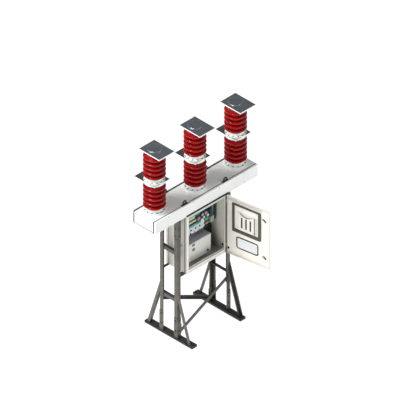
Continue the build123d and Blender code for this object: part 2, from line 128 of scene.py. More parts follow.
def noise(tree, place, size, detail=3.0, stretch=(1, 1, 1)):
    """Noise of the given grain size in metres, drawn out along the axes by the stretch."""
    mapped = node(tree, "Mapping", {"Vector": place, "Scale": [1 / factor for factor in stretch]})
    return node(tree, "TexNoise", {"Vector": mapped["Vector"], "Scale": 1 / size, "Detail": detail})["Fac"]


def remap(tree, value, old, new=(0, 1)):
    """Map a value from one range to another, clamped."""
    ranges = {"From Min": old[0], "From Max": old[1], "To Min": new[0], "To Max": new[1]}
    return node(tree, "MapRange", {"Value": value, **ranges})["Result"]


def compute(tree, operation, *values):
    """The result of a Math node on one or two sockets."""
    return node(tree, "Math", enumerate(values), operation=operation)["Value"]


def mix(tree, share, first, second):
    """Mix two colours by a share; each colour is a socket or four numbers."""
    return node(tree, "Mix", {0: share, 6: first, 7: second}, data_type="RGBA")[2]


def with_painted_shade(tree, tone, colour, painted_shade):
    """Paint shade on a tone: darker on top faces and in sheltered corners, standing for the light they miss.
    """
    top_painted_shade, corner_painted_shade, reach, open_share, closed_share = painted_shade
    dark = scaled(colour, PAINTED_SHADE_LEVEL)
    normal = node(tree, "SeparateXYZ", {"Vector": node(tree, "NewGeometry")["Normal"]})
    top_shade_share = remap(tree, normal["Z"], TOP_FACES, (0, top_painted_shade))
    shelter = node(tree, "AmbientOcclusion", {"Distance": reach}, samples=8)["AO"]
    corner_shade_share = remap(tree, shelter, (open_share, closed_share), (0, corner_painted_shade))
    return mix(tree, corner_shade_share, mix(tree, top_shade_share, tone, dark), dark)


def with_wear(tree, tone, place, bare):
    """Show bare metal in patches along the edges, where a rounded normal leaves the true one."""
    rounded = node(tree, "Bevel", {"Radius": WEAR_RADIUS}, samples=4)["Normal"]
    normals = {0: rounded, 1: node(tree, "NewGeometry")["Normal"]}
    facing = node(tree, "VectorMath", normals, operation="DOT_PRODUCT")["Value"]
    edge = remap(tree, facing, WORN_EDGES)
    patches = remap(tree, noise(tree, place, WEAR_PATCH, detail=5.0), WORN_PATCHES, (0, WEAR_SHARE))
    return mix(tree, compute(tree, "MULTIPLY", edge, patches), tone, bare)


def with_painted_upright_light(tree, tone, painted_upright_light):
    """Paint light and shade on the upright faces: a colour of their own that stands for how they are lit."""
    normal = node(tree, "SeparateXYZ", {"Vector": node(tree, "NewGeometry")["True Normal"]})
    upright = remap(tree, compute(tree, "ABSOLUTE", normal["Z"]), UPRIGHT_FACES)
    return mix(tree, upright, tone, painted_upright_light)


def finish(name, colour, roughness, mottle=0.08, mottle_size=0.18, grain_size=1.5 * MM, grain=0.15,
           metallic=0.0, gloss_level=0.5, coat=0.0, drips=0.0, painted_shade=None, wear=None, painted_upright_light=None):
    """A procedural surface: mottled colour, uneven gloss and fine relief, with wear, painted shade, and
    painted light and shade on upright faces, if asked.
    """
    material = bpy.data.materials.new(name)
    material.use_nodes = True
    tree = material.node_tree
    place = node(tree, "TexCoord")["Object"]

    clouds = remap(tree, noise(tree, place, mottle_size), CLOUDS)
    tone = mix(tree, clouds, scaled(colour, 1 - mottle), scaled(colour, 1 + mottle))
    if drips:
        streaks = noise(tree, place, STREAK_SIZE, stretch=STREAK_STRETCH)
        share = remap(tree, streaks, STREAKS, (0, drips))
        tone = mix(tree, share, tone, scaled(colour, STREAK_SHADE))
    # painted shade on top faces and in corners
    if painted_shade:
        tone = with_painted_shade(tree, tone, colour, painted_shade)
    if wear:
        tone = with_wear(tree, tone, place, wear)
    # painted light and shade on upright faces
    if painted_upright_light:
        tone = with_painted_upright_light(tree, tone, painted_upright_light)

    gloss = noise(tree, place, mottle_size / 3)
    grains = noise(tree, place, grain_size, detail=2.0)
    relief = node(tree, "Bump", {"Strength": grain, "Distance": grain_size / 3, "Height": grains})
    feed(tree, tree.nodes["Principled BSDF"], {
        "Base Color": tone,
        "Roughness": remap(tree, gloss, GLOSS, [roughness * factor for factor in GLOSS_FACTORS]),
        "Normal": relief["Normal"],
        "Metallic": metallic,
        "Specular IOR Level": gloss_level,
        "Coat Weight": coat,
        "Coat Roughness": COAT_ROUGHNESS,
    })
    return material


def adjust(material, **inputs):
    """Set more of a finish's inputs, each named as the shader has it but with underscores."""
    shader = {key.replace("_", " "): value for key, value in inputs.items()}
    feed(material.node_tree, material.node_tree.nodes["Principled BSDF"], shader)
    return material


bare_steel = srgb(138, 136, 128)
# painted highlight on the terminal plates' upright edges
painted_edge_highlight = srgb(244, 246, 246)
# Painted shade: share on top faces and in corners, reach, and the open share where it starts and is full.
STEEL_PAINTED_SHADE = (0.7, 0.95, 0.11, 0.9, 0.55)
BRACE_PAINTED_SHADE = (0.0, 0.8, 0.11, 0.9, 0.5)
SHED_PAINTED_SHADE = (0.0, 0.8, 0.07, 0.85, 0.35)
DOOR_SHADE = (0.0, 0.12, 0.4, 0.98, 0.6)
INSIDE_SHADE = (0.0, 0.75, 0.3, 0.5, 0.12)

# Name: screen colour, roughness, mottle and its size if it has its own. EXTRAS has the rest.
FINISHES = {
    # Beam, poles and their plates.
    "beam_white": ((249, 251, 249), 0.4, 0.015),
    "edge_grey": ((172, 173, 171), 0.45, 0.04),
    "flange_white": ((238, 243, 238), 0.38, 0.04),
    "shed_glaze": ((150, 0, 2), 0.15, 0.08, 0.06),
    "mid_plate": ((112, 118, 118), 0.24, 0.1, 0.12),
    "top_plate": ((136, 142, 148), 0.32, 0.07, 0.12),
    "shim_grey": ((176, 186, 178), 0.4, 0.06),
    "eye_steel": ((22, 22, 21), 0.45, 0.12),
    # Stand.
    "post_steel": ((90, 87, 80), 0.48, 0.14, 0.09),
    "cleat_steel": ((86, 88, 80), 0.5, 0.12, 0.07),
    "brace_steel": ((84, 83, 78), 0.46, 0.14, 0.08),
    # near black for painted shade in the posts' insides and under the cleats
    "shade_liner_steel": ((20, 20, 18), 0.5, 0.14, 0.08),
    "foot_steel": ((46, 45, 42), 0.5, 0.16, 0.07),
    # Cabinet and door.
    "cabinet_cream": ((228, 225, 215), 0.4, 0.03),
    # lighter than the cabinet's cream: painted light on the door
    "door_cream": ((244, 241, 231), 0.4, 0.025),
    # near black for painted shade on the mounting plate behind the devices
    "cabinet_inside": ((28, 29, 30), 0.55, 0.1),
    # grey for painted shade in the grooves of the cabinet's sides
    "groove_shade_grey": ((150, 147, 138), 0.5, 0.06),
    # white for the terminal packing, and a painted highlight round the cabinet's opening
    "white_trim_and_highlight": ((250, 251, 247), 0.35, 0.02),
    "sill_grey": ((158, 156, 152), 0.5, 0.06),
    # grey for the painted shadow of the door's top rim
    "rim_shadow_grey": ((208, 205, 195), 0.45, 0.04),
    "gland_grey": ((190, 187, 183), 0.5, 0.1),
    "pocket_light": ((232, 230, 222), 0.42, 0.03),
    # darker grey for painted shade at the pocket's side and flange edge
    "pocket_edge_shade": ((150, 148, 140), 0.5, 0.05),
    "dark_trim": ((74, 72, 64), 0.5, 0.1),
    "latch_dark": ((34, 34, 34), 0.4, 0.1),
    # Devices.
    "panel_teal": ((70, 160, 142), 0.4, 0.12, 0.05),
    "device_dark": ((24, 40, 40), 0.42, 0.1, 0.03),
    "device_green": ((86, 170, 132), 0.42, 0.1, 0.03),
    "device_teal": ((104, 176, 170), 0.42, 0.1, 0.03),
    "device_cyan": ((206, 234, 232), 0.45, 0.05, 0.03),
    "device_white": ((238, 240, 242), 0.45, 0.05, 0.03),
    "device_sage": ((186, 214, 190), 0.5, 0.06, 0.03),
    "device_pine": ((44, 84, 82), 0.42, 0.12, 0.03),
    "device_olive": ((66, 66, 44), 0.5, 0.1, 0.03),
    "device_cream": ((226, 222, 204), 0.5, 0.06, 0.03),
    "device_grey": ((178, 178, 166), 0.5, 0.06, 0.03),
    "device_plum": ((116, 84, 104), 0.4, 0.12, 0.02),
    "device_rose": ((190, 142, 150), 0.4, 0.08, 0.02),
    "device_lilac": ((184, 172, 196), 0.4, 0.08, 0.02),
    "device_red": ((150, 30, 34), 0.4, 0.08, 0.02),
    "box_light": ((236, 236, 232), 0.45, 0.03),
    # darker than the box: painted shade on the relay box's top
    "box_lid_painted_shade": ((196, 189, 204), 0.55, 0.08),
    "lens_olive": ((134, 132, 110), 0.3, 0.08, 0.02),
    # Seals, bolts and bright parts, with the painted shade and highlights among them.
    # black for real seals and studs, and for painted shade in gaps, holes, under the beam and in the pocket
    "seal_black": ((20, 20, 20), 0.7, 0.15, 0.03),
    # brown for painted shade between the door and the cabinet by the hinges
    "hinge_shade_brown": ((112, 102, 97), 0.65, 0.1, 0.03),
    # grey and dark grey for painted shade in the beam's front joint
    "seal_grey_gap_shade": ((112, 112, 114), 0.65, 0.1, 0.03),
    "end_seal_gap_shade": ((52, 52, 53), 0.65, 0.1, 0.03),
    "hinge_steel": ((150, 150, 146), 0.35, 0.1, 0.02),
    # bright steel for a painted highlight round the terminals' bosses
    "highlight_steel": ((206, 210, 212), 0.3, 0.06, 0.03),
    "bolt_zinc": ((150, 152, 148), 0.32, 0.12, 0.02),
    "bolt_pale": ((118, 120, 117), 0.45, 0.1, 0.02),
    "bolt_dark": ((60, 60, 57), 0.42, 0.15, 0.02),
}
# The painted shade below darkens steel tops, and the hollows of steel, sheds, the cabinet's inside and the
# door by its hinges.
EXTRAS = {
    "beam_white": {"grain": 0.12, "coat": 0.05, "drips": 0.04},
    "flange_white": {"grain": 0.2},
    "shed_glaze": {"grain": 0.05, "coat": 0.15, "painted_shade": SHED_PAINTED_SHADE, "gloss_level": 0.28},
    # the terminal plates' upright edges take a painted highlight
    **dict.fromkeys(("mid_plate", "top_plate"), {"metallic": 0.9, "painted_upright_light": painted_edge_highlight}),
    **dict.fromkeys(("post_steel", "cleat_steel"), {"wear": bare_steel, "painted_shade": STEEL_PAINTED_SHADE}),
    "brace_steel": {"wear": bare_steel, "painted_shade": BRACE_PAINTED_SHADE},
    # the feet's upright faces take painted shade
    "foot_steel": {"wear": bare_steel, "painted_upright_light": srgb(24, 24, 22)},
    "cabinet_cream": {"grain": 0.2, "painted_shade": INSIDE_SHADE},
    "door_cream": {"grain": 0.2, "painted_shade": DOOR_SHADE},
    "box_light": {"grain": 0.25},
    **dict.fromkeys(("seal_black", "hinge_shade_brown", "seal_grey_gap_shade", "end_seal_gap_shade"), {"grain": 0.4}),
    "hinge_steel": {"metallic": 0.8},
    "highlight_steel": {"metallic": 0.9},
    "bolt_zinc": {"metallic": 0.7},
    "bolt_dark": {"metallic": 0.3},
}
looks = {
    name: finish(name, srgb(*colour), *surface, **EXTRAS.get(name, {}))
    for name, (colour, *surface) in FINISHES.items()
}
looks["window_pane"] = adjust(
    finish("window_pane", srgb(246, 247, 248), 0.14, mottle=0.03, grain=0.02),
    Transmission_Weight=0.35, IOR=1.48,
)

# The CAD nodes of each look, by how their names start. The longest start that fits is taken.
NODE_STARTS = {
    "foot_steel": "foot_bar cabinet_brackets",
    "post_steel": "post_ raking_struts crossbars gusset_plates",
    "cleat_steel": "post_head_cleats",
    "brace_steel": "brace_",
    "beam_white": "beam_",
    "eye_steel": "lifting_eyes",
    "flange_white": "base_flange mid_flange",
    "shed_glaze": "lower_insulator upper_insulator",
    "mid_plate": "mid_terminal",
    "top_plate": "top_terminal",
    "cabinet_cream": "cabinet_body",
    # the mounting plate carries painted shade
    "cabinet_inside": "cabinet_mounting_plate",
    "panel_teal": "component_panel device_rows",
    "box_light": "relay_box",
    "hinge_steel": "cabinet_hinges",
    # the door's lighter cream is painted light
    "door_cream": "cabinet_door",
    "dark_trim": "door_frame",
    "pocket_light": "document_pocket",
    "seal_black": "window_gasket",
    "window_pane": "window_pane",
    "latch_dark": "door_latches",
}
look_of = {start: look for look, starts in NODE_STARTS.items() for start in starts.split()}
ROUND_NODES = ("insulator", "flange", "top_terminal")  # turned parts, which keep their edges


def soften(piece, width, steps=2):
    """Round a piece's sharp edges."""
    weld = piece.modifiers.new("weld", "WELD")
    weld.merge_threshold = 0.02 * MM
    bevel = piece.modifiers.new("bevel", "BEVEL")
    bevel.width = width
    bevel.segments = steps
    bevel.limit_method = "ANGLE"
    bevel.angle_limit = math.radians(40)


for name, piece in nodes.items():
    longest = max((start for start in look_of if name.startswith(start)), key=len)
    for slot in piece.material_slots:
        slot.material = looks[look_of[longest]]
    if not any(word in name for word in ROUND_NODES):
        soften(piece, 1.2 * MM)


# --- Places ---
def axes(origin, x_dir, y_dir):
    """A place with its x and y along two directions from the origin, and z their cross product."""
    x_dir, y_dir = Vector(x_dir).normalized(), Vector(y_dir).normalized()
    z_dir = x_dir.cross(y_dir)
    turn = Matrix((x_dir, y_dir, z_dir)).transposed().to_4x4()
    return Matrix.Translation(Vector(origin)) @ turn


def level(z, x=0.0, y=0.0, rise=1):
    """A level place at height z, with its own z up, or down where rise is -1."""
    return axes((x, y, z), (1, 0, 0), (0, rise, 0))


def facing_x(x, side, y=0.0, z=0.0):
    """An upright place that faces -X or +X by the side's sign, with its own y up."""
    return axes((x, y, z), (0, side, 0), (0, 0, 1))


def facing_y(y, side=-1, x=0.0, z=0.0):
    """An upright place that faces -Y or +Y by the side's sign, with its own y up."""
    return axes((x, y, z), (-side, 0, 0), (0, 0, 1))


def face_of(box, axis, side):
    """Where the low or high face of a box, by the side's sign, lies along an axis."""
    low, high = box
    return getattr(high if side > 0 else low, axis)


def between(low, high):
    """The number halfway between two others."""
    return (low + high) / 2


def ring_of(radius, count, start=0.0):
    """Points evenly round a circle, as (x, y)."""
    turns = (start + 2 * math.pi * step / count for step in range(count))
    return [(radius * math.cos(turn), radius * math.sin(turn)) for turn in turns]


def shifted(points, centre):
    """Points of (x, y) moved from round the origin to round a centre."""
    return [(centre[0] + x, centre[1] + y) for x, y in points]


# --- Building pieces ---
# How far edges are rounded.
FINE = 0.3 * MM
SLIM = 0.4 * MM
CRISP = 0.5 * MM
PLAIN = 0.6 * MM
SOFT = 0.8 * MM
BROAD = 1 * MM
# A bolt's sizes, as shares of its head's width across flats.
BOLT_HEIGHTS = (0.14, 0.46, 0.53)  # of its washer, its shoulder and its top
WASHER_RADIUS = 0.72
BOLT_TURN = 0.3  # radians


class Piece:
    """A mesh gathered from solids, which rides on a body. Each shape's method returns the piece."""

    def __init__(self, name, look, slot, body="structure"):
        self.name, self.look, self.slot, self.body = name, look, slot, body
        self.mesh = bmesh.new()

    def row(self, points, height, place):
        """Vertices at a height above the place."""
        return [self.mesh.verts.new(place @ Vector((x, y, height))) for x, y in points]

    def band(self, first, second, closed=True):
        """Faces between two rows of vertices."""
        count = len(first)
        for index in range(count if closed else count - 1):
            after = (index + 1) % count
            self.mesh.faces.new((first[index], first[after], second[after], second[index]))

    def prism(self, outline, low, high, place, top_outline=None):
        """A solid between two outlines of as many points, at heights low and high above the place."""
        lower, upper = self.row(outline, low, place), self.row(top_outline or outline, high, place)
        self.mesh.faces.new(reversed(lower))
        self.mesh.faces.new(upper)
        self.band(lower, upper)
        return self

    def block(self, centre, size, height, place, low=0.0):
        """A box that stands on the place, centred on a point of it."""
        (x, y), (width, depth) = centre, size
        ways = ((-1, -1), (1, -1), (1, 1), (-1, 1))
        corners = [(x + right * width / 2, y + up * depth / 2) for right, up in ways]
        return self.prism(corners, low, low + height, place)

    def disc(self, centre, shape, place, low=0.0, sides=24):
        """A round solid that stands on the place: its radius, height and, if it tapers, top radius."""
        radius, height, top_radius = (*shape, shape[0])[:3]
        outlines = [shifted(ring_of(size, sides), centre) for size in (radius, top_radius)]
        return self.prism(outlines[0], low, low + height, place, outlines[1])

    def tube(self, centre, outer, inner, height, place, low=0.0, sides=72):
        """A round ring that stands on the place."""
        corners = ((outer, low), (outer, low + height), (inner, low + height), (inner, low))
        rings = [self.row(shifted(ring_of(radius, sides), centre), rise, place) for radius, rise in corners]
        for first, second in zip(rings, rings[1:] + rings[:1]):
            self.band(first, second)
        return self

    def bolt(self, centre, size, place):
        """A hexagon head of the given width across flats on its washer."""
        washer, shoulder, top = (size * share for share in BOLT_HEIGHTS)
        outer, inner = (ring_of(radius, 6, BOLT_TURN) for radius in (size / math.sqrt(3), size / 2))
        self.disc(centre, (size * WASHER_RADIUS, washer), place)
        self.prism(shifted(outer, centre), washer, shoulder, place)
        return self.prism(shifted(inner, centre), shoulder, top, place)

    def frame(self, centre, outer, inner, height, place, low=0.0):
        """A rectangular ring that stands on the place."""
        x, y = centre
        band_x, band_y = (outer[0] - inner[0]) / 2, (outer[1] - inner[1]) / 2
        for side in SIDES:
            self.block((x, y + side * (inner[1] + band_y) / 2), (outer[0], band_y), height, place, low)
            self.block((x + side * (inner[0] + band_x) / 2, y), (band_x, inner[1]), height, place, low)
        return self

    def strip(self, first, second, height, place, low=0.0):
        """A flat band between two lines of as many points."""
        lines = ((first, low), (second, low), (second, low + height), (first, low + height))
        rows = [self.row(line, rise, place) for line, rise in lines]
        for row, after in zip(rows, rows[1:] + rows[:1]):
            self.band(row, after, closed=False)
        for end in (0, -1):
            self.mesh.faces.new([row[end] for row in rows])
        return self

    def done(self, soft_edge=PLAIN):
        """Link the piece with its edges rounded, give it its finish and set it riding."""
        bmesh.ops.recalc_face_normals(self.mesh, faces=self.mesh.faces)
        data = bpy.data.meshes.new(self.name)
        self.mesh.to_mesh(data)
        self.mesh.free()
        data.materials.append(looks[self.look])
        made = bpy.data.objects.new(self.name, data)
        bpy.context.scene.collection.objects.link(made)
        if soft_edge:
            soften(made, soft_edge)
        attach(made, self.body)
        return made


# --- Beam ---
beam_box = beam_low, beam_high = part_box("beam_body")
beam_size = beam_high - beam_low
beam_middle = (beam_low + beam_high) / 2
# seal colours are painted shade of the gaps along the covers
BEAM_SEAL_SHADES = {"front": "seal_grey_gap_shade", "rear": "seal_black"}
JOINT_WIDTH = 16 * MM  # of the gap between the beam's body and a cover
JOINT_SETBACK = 8 * MM
BEAD = 2 * MM  # thickness of the seal's beads
TOP_BEAD_WIDTH = 24 * MM
END_BEAD_WIDTH = 22 * MM
COVER_SCREWS_X = (-0.7, -0.233, 0.233, 0.7)
COVER_SCREW_INSET = 22 * MM
# Round shapes are a radius, a height and, if they taper, a top radius.
SCREW_WASHER = (6.5 * MM, 1.6 * MM)
SCREW_HEAD = (5 * MM, 2.2 * MM, 3.6 * MM)
END_LIP = (19 * MM, 1.5 * MM)  # height and thickness of the folded lip along the lower edge
END_LINE = (6 * MM, 1 * MM)  # the same for the line along the upper edge


def end_beads(gasket, stand, shortened, joint):
    """Add a bead down each end of a joint, shorter than the beam and with its middle outside the end."""
    for x_side in SIDES:
        centre = (x_side * (beam_size.x / 2 + stand), 0)
        gasket.block(centre, (BEAD, beam_size.z - shortened), END_BEAD_WIDTH, joint,
                     low=(JOINT_WIDTH - END_BEAD_WIDTH) / 2)


def beam_gasket(end, y_side):
    """The seal between the beam's body and a cover, coloured as painted shade of the joint's gap: grey in
    front, black behind.
    """
    joint = facing_y(face_of(beam_box, "y", y_side), y_side, beam_middle.x, beam_middle.z)
    inner = (beam_size.x - 2 * JOINT_SETBACK, beam_size.z - 2 * JOINT_SETBACK)
    gasket = Piece(f"beam_gasket_{end}", BEAM_SEAL_SHADES[end], "gasket_rubber")
    gasket.frame((0, 0), (beam_size.x, beam_size.z), inner, JOINT_WIDTH, joint)
    if end == "rear":
        gasket.block((0, beam_size.z / 2 + BEAD / 2), (beam_size.x - BEAD, BEAD), TOP_BEAD_WIDTH, joint,
                     low=(JOINT_WIDTH - TOP_BEAD_WIDTH) / 2)
        end_beads(gasket, stand=-0.8 * MM, shortened=4 * MM, joint=joint)
    gasket.done(FINE)
    if end == "front":
        # darker end beads: painted shade where the key lamp lights the front ends
        ends = Piece("beam_gasket_front_ends", "end_seal_gap_shade", "gasket_rubber")
        end_beads(ends, stand=0.2 * MM, shortened=2 * MM, joint=joint)
        ends.done(FINE)


def cover_screws(end, y_side):
    """Two rows of screws in a cover of the beam."""
    cover_y = face_of(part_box(f"beam_cover_{end}"), "y", y_side)
    face = facing_y(cover_y, y_side, beam_middle.x, beam_middle.z)
    screws = Piece(f"cover_screws_{end}", "bolt_zinc", "beam_paint")
    for x in COVER_SCREWS_X:
        for z_side in SIDES:
            centre = (x, z_side * (beam_size.z / 2 - COVER_SCREW_INSET))
            screws.disc(centre, SCREW_WASHER, face, sides=20)
            screws.disc(centre, SCREW_HEAD, face, low=SCREW_WASHER[1], sides=20)
    screws.done(FINE)


def beam_ends():
    """A folded lip along the foot of each end of the beam, and a thin line near its head."""
    (lip_height, lip_depth), (line_height, line_depth) = END_LIP, END_LINE
    for side, x_side in X_SIDES:
        end_face = facing_x(face_of(beam_box, "x", x_side), x_side, beam_middle.y, beam_low.z)
        lip = Piece(f"beam_end_lip_{side}", "edge_grey", "beam_paint")
        lip.block((0, lip_height / 2), (beam_size.y, lip_height), lip_depth, end_face)
        lip.block((0, beam_size.z - line_height), (beam_size.y, line_height), line_depth, end_face)
        lip.done()


for cover, cover_side in Y_SIDES:
    beam_gasket(cover, cover_side)
    cover_screws(cover, cover_side)
beam_ends()

# --- Eye pads, and a black bar of painted shadow ---
EYE_SPACING = 0.75
EYE_PAD = (108 * MM, 28 * MM)
EYE_PAD_HEIGHT = 8 * MM
EYE_PAD_SPREAD = 2 * MM  # how far a pad reaches past the eye's own foot
# a black bar of painted shadow under the beam's front
SHADOW_BAR_ENDS = (-16 * MM, 44 * MM)  # its ends from the cabinet's sides
SHADOW_BAR = (15 * MM, 2.5 * MM)  # height, thickness
SHADOW_BAR_RISE = 8 * MM  # of its middle over the beam's lower edge


def eye_pads():
    """Pads round the feet of the lifting eyes."""
    pads = Piece("lifting_eye_pads", "eye_steel", "zinc_plate")
    for y_side in SIDES:
        y = face_of(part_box("lifting_eyes"), "y", y_side) - y_side * (EYE_PAD[1] / 2 - EYE_PAD_SPREAD)
        for x_side in SIDES:
            pads.block((x_side * EYE_SPACING / 2, y), EYE_PAD, EYE_PAD_HEIGHT, level(beam_high.z))
    pads.done()


def beam_shadow_bar():
    """A black bar along the lower edge of the beam's front, over the cabinet: a painted shadow line."""
    low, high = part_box("cabinet_body")
    left, right = low.x + SHADOW_BAR_ENDS[0], high.x + SHADOW_BAR_ENDS[1]
    height, thickness = SHADOW_BAR
    place = facing_y(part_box("beam_cover_front")[0].y, z=beam_low.z)
    Piece("cabinet_beam_shadow_bar", "seal_black", "gasket_rubber").block(
        (between(left, right), SHADOW_BAR_RISE), (right - left, height), thickness, place).done()


eye_pads()
beam_shadow_bar()

# --- Poles ---
FLANGE_BOLTS = 12
FLANGE_BOLT_SIZE = 14 * MM
BOLT_RING = 131 * MM
COLLAR_RADII = (121 * MM, 119 * MM)  # at the foot and at the top
COLLAR_HEIGHTS = (40 * MM, 9 * MM, 40 * MM)  # over the base flange, under and over the mid flange
BOSS_HEIGHT = 10 * MM  # its radius is 98 mm
# a bright band: painted highlight round the boss
HIGHLIGHT_BAND_RADII, HIGHLIGHT_BAND_HEIGHT = (99.5 * MM, 97 * MM), 8.5 * MM
PLATE_THICKNESS = 10 * MM
PACKING_HEIGHT = 10 * MM
PACKING_INSETS = (2 * MM, 22 * MM)  # of its outer and inner edge, from the plate's edge
SHIM_SIDE = 85 * MM
SHIM_INSET = 2 * MM
SHIM_THICKNESS = 1 * MM


def flange_bolts(pole, pole_x, base_top, mid_bottom, mid_top):
    """Rings of bolts on the base flange and on both faces of the mid flange."""
    bolts = Piece(f"flange_bolts_{pole}", "bolt_pale", "flange_white")
    for x, y in ring_of(BOLT_RING, FLANGE_BOLTS):
        for z, rise in ((base_top, 1), (mid_top, 1), (mid_bottom, -1)):
            bolts.bolt((0, 0), FLANGE_BOLT_SIZE, level(z, pole_x + x, y, rise))
    bolts.done(SLIM)


def collars(pole, pole_x, base_top, mid_bottom, mid_top):
    """Cement collars between the flanges and the insulators."""
    foot, top = COLLAR_RADII
    made = Piece(f"collars_{pole}", "flange_white", "flange_white")
    for z, rise, height in zip((base_top, mid_bottom, mid_top), (1, -1, 1), COLLAR_HEIGHTS):
        made.disc((0, 0), (foot, height, top), level(z, pole_x, rise=rise), sides=72)
    made.done(SOFT)


def top_terminal(pole, pole_x):
    """A bright band round the boss on the top terminal, a painted highlight on its rounded edge, and white
    packing under its plate.
    """
    low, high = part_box(f"top_terminal_{pole}")
    boss_foot = high.z - BOSS_HEIGHT
    Piece(f"boss_highlight_band_{pole}", "highlight_steel", "terminal_grey").tube(
        (0, 0), *HIGHLIGHT_BAND_RADII, HIGHLIGHT_BAND_HEIGHT, level(boss_foot, pole_x)).done()
    outer, inner = ((high.x - low.x - 2 * inset, high.y - low.y - 2 * inset) for inset in PACKING_INSETS)
    foot = level(boss_foot - PLATE_THICKNESS - PACKING_HEIGHT)
    Piece(f"terminal_packing_{pole}", "white_trim_and_highlight", "flange_white").frame(
        (pole_x, between(low.y, high.y)), outer, inner, PACKING_HEIGHT, foot).done()


def mid_terminal_shim(pole):
    """A pale shim on the middle terminal's near corner."""
    low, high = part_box(f"mid_terminal_{pole}")
    corners = ((SHIM_INSET, SHIM_INSET), (SHIM_SIDE, SHIM_INSET), (SHIM_INSET, SHIM_SIDE))
    Piece(f"terminal_shim_{pole}", "shim_grey", "flange_white").prism(
        corners, 0, SHIM_THICKNESS, level(high.z, low.x, low.y)).done(FINE)


for pole in ("left", "middle", "right"):
    base_low, base_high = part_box(f"base_flange_{pole}")
    mid_low, mid_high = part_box(f"mid_flange_{pole}")
    pole_x = between(base_low.x, base_high.x)
    flange_bolts(pole, pole_x, base_high.z, mid_low.z, mid_high.z)
    collars(pole, pole_x, base_high.z, mid_low.z, mid_high.z)
    top_terminal(pole, pole_x)
    mid_terminal_shim(pole)

# --- Stand ---
head_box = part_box("post_head_cleats")
head_bottom = head_box[0].z
base_cleat_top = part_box("post_base_cleats")[1].z
POST_THICKNESS = 8 * MM
SHADE_LINER_REACH = 67 * MM  # of a shade liner's flange, from the post's corner
SHADE_LINER_THICKNESS = 5 * MM
SHADE_LINER_FOOT = 30 * MM  # above the crossbars' lower edge
SHADE_LINER_TOP_GAP = 4 * MM
# a painted shadow line under the head cleats
SHADOW_LINE_HEIGHT = 14 * MM
SHADOW_LINE_THICKNESS = 4 * MM
STAND_BOLT_SIZE = 17 * MM
STAND_BOLT_GAUGE = 32 * MM  # from the post's corner
HEAD_BOLTS = (0.04, 0.16, 0.28)  # above the head cleats' lower edge
BASE_BOLTS = (-0.04, -0.2)  # from the base cleats' upper edge
HOLE = (6 * MM, 0.4 * MM)
HOLE_GAUGE = 44 * MM
HOLE_PITCH = 148 * MM
HOLES_FOOT, HOLES_HEAD = 90 * MM, 50 * MM  # bare post above the base cleats and below the head cleats


def posts():
    """Each post's side along x, its side along y and its box."""
    for side, x_side in X_SIDES:
        for end, y_side in Y_SIDES:
            yield x_side, y_side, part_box(f"post_{side}_{end}")


def post_shade_liners():
    """Black angles nested in the posts as painted shade on their inner faces, and black strips of painted
    shadow under the head cleats.
    """
    shade_liners = Piece("post_shade_liners", "shade_liner_steel", "frame_steel")
    shadow_lines = Piece("cleat_shadow_lines", "shade_liner_steel", "frame_steel")
    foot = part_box("crossbars_left")[0].z + SHADE_LINER_FOOT
    reach = SHADE_LINER_REACH - POST_THICKNESS
    for x_side, y_side, box in posts():
        low, high = box
        post_x = face_of(box, "x", x_side)
        x = post_x - x_side * POST_THICKNESS
        y = face_of(box, "y", y_side) - y_side * POST_THICKNESS
        height = high.z - foot - SHADE_LINER_TOP_GAP
        for width, depth in ((reach, SHADE_LINER_THICKNESS), (SHADE_LINER_THICKNESS, reach)):
            centre = (x - x_side * width / 2, y - y_side * depth / 2)
            shade_liners.block(centre, (width, depth), height, level(foot))
        shadow_lines.block((post_x, between(low.y, high.y)), (SHADOW_LINE_THICKNESS, high.y - low.y), SHADOW_LINE_HEIGHT,
                    level(head_bottom - SHADOW_LINE_HEIGHT))
    shade_liners.done(CRISP)
    shadow_lines.done(CRISP)


def stand_fasteners():
    """Bolts through the cleats, and a row of holes up each post's side, drawn as black discs of painted
    shade.
    """
    bolts = Piece("stand_bolts", "bolt_dark", "frame_steel")
    holes = Piece("post_holes", "seal_black", "frame_steel")
    bolt_heights = [head_bottom + rise for rise in HEAD_BOLTS]
    bolt_heights += [base_cleat_top + rise for rise in BASE_BOLTS]
    for x_side, y_side, box in posts():
        post_x, post_y = face_of(box, "x", x_side), face_of(box, "y", y_side)
        cleat_side = facing_x(face_of(head_box, "x", x_side), x_side)
        cleat_end = facing_y(face_of(head_box, "y", y_side), y_side)
        for z in bolt_heights:
            bolts.bolt((x_side * (post_y - y_side * STAND_BOLT_GAUGE), z), STAND_BOLT_SIZE, cleat_side)
            bolts.bolt((-y_side * (post_x - x_side * STAND_BOLT_GAUGE), z), STAND_BOLT_SIZE, cleat_end)
        z = base_cleat_top + HOLES_FOOT
        while z < head_bottom - HOLES_HEAD:
            # black disc: painted shade inside a hole
            holes.disc((x_side * (post_y - y_side * HOLE_GAUGE), z), HOLE, facing_x(post_x, x_side), sides=16)
            z += HOLE_PITCH
    bolts.done(CRISP)
    holes.done(0)


post_shade_liners()
stand_fasteners()

# --- Cabinet body ---
cabinet_box = cabinet_low, cabinet_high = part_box("cabinet_body")
OPENING_LIP = 8 * MM  # how far the lip round the opening stands ahead of the cabinet's front
cabinet_front = cabinet_low.y + OPENING_LIP
cabinet_middle = (cabinet_low + cabinet_high) / 2
cabinet_size = cabinet_high - cabinet_low
front_face = facing_y(cabinet_front)
OPENING = (-0.334, 0.322, 1.114, 1.906)  # left, right, bottom, top
SIDE_CHANNELS = ((0.126, 0.141), (-0.186, -0.155))  # the grooves in its sides, from y to y
MOULDING_DEPTH = 2.5 * MM
CHANNEL_DEPTH = 0.6 * MM
